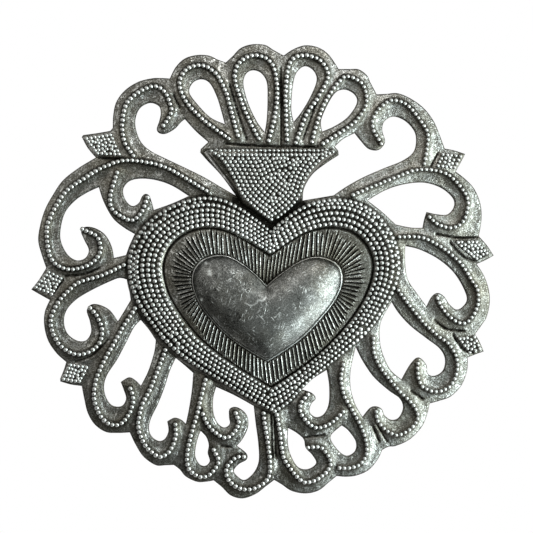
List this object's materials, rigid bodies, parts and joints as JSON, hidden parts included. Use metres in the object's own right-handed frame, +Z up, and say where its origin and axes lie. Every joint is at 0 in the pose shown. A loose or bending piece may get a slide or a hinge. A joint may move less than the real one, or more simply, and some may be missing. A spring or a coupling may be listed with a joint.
{
  "type": "metal heart wall ornament",
  "caption": "Round pierced metal wall ornament: a domed heart with a ray ring and a beaded border on a scroll sheet, under a beaded crown panel and flames, hung by a ring at the back.",
  "frame": {"origin": "middle of the round outline, on the wall plane behind the sheet", "axes": "+Z up the wall, +X to the viewer's right, -Y out of the wall towards the viewer"},
  "size_m": [0.2313, 0.0127, 0.2272],
  "materials": {
    "scroll_steel": "hammered sheet with a dark grey-brown patina and polished high spots",
    "border_steel": "dark patina with bright polished beads",
    "ray_steel": "satin, with dark chased lines",
    "dome_steel": "smooth burnished, with fine scratches",
    "crown_steel": "dark patina with bright polished beads",
    "hanger_steel": "plain dull steel"
  },
  "bodies": {
    "ornament": {"scroll_sheet": "scroll_steel", "heart_border": "border_steel", "ray_ring": "ray_steel", "heart_dome": "dome_steel", "crown_panel": "crown_steel", "hanger_strap": "hanger_steel"},
    "ring": {"hanger_ring": "hanger_steel"}
  },
  "joints": [
    {"name": "ring_swing", "type": "hinge", "parent": "ornament", "child": "ring", "pos_m": [0.002, -0.00255, 0.046], "axis": [1, 0, 0], "range_deg": [0, 180]}
  ]
}
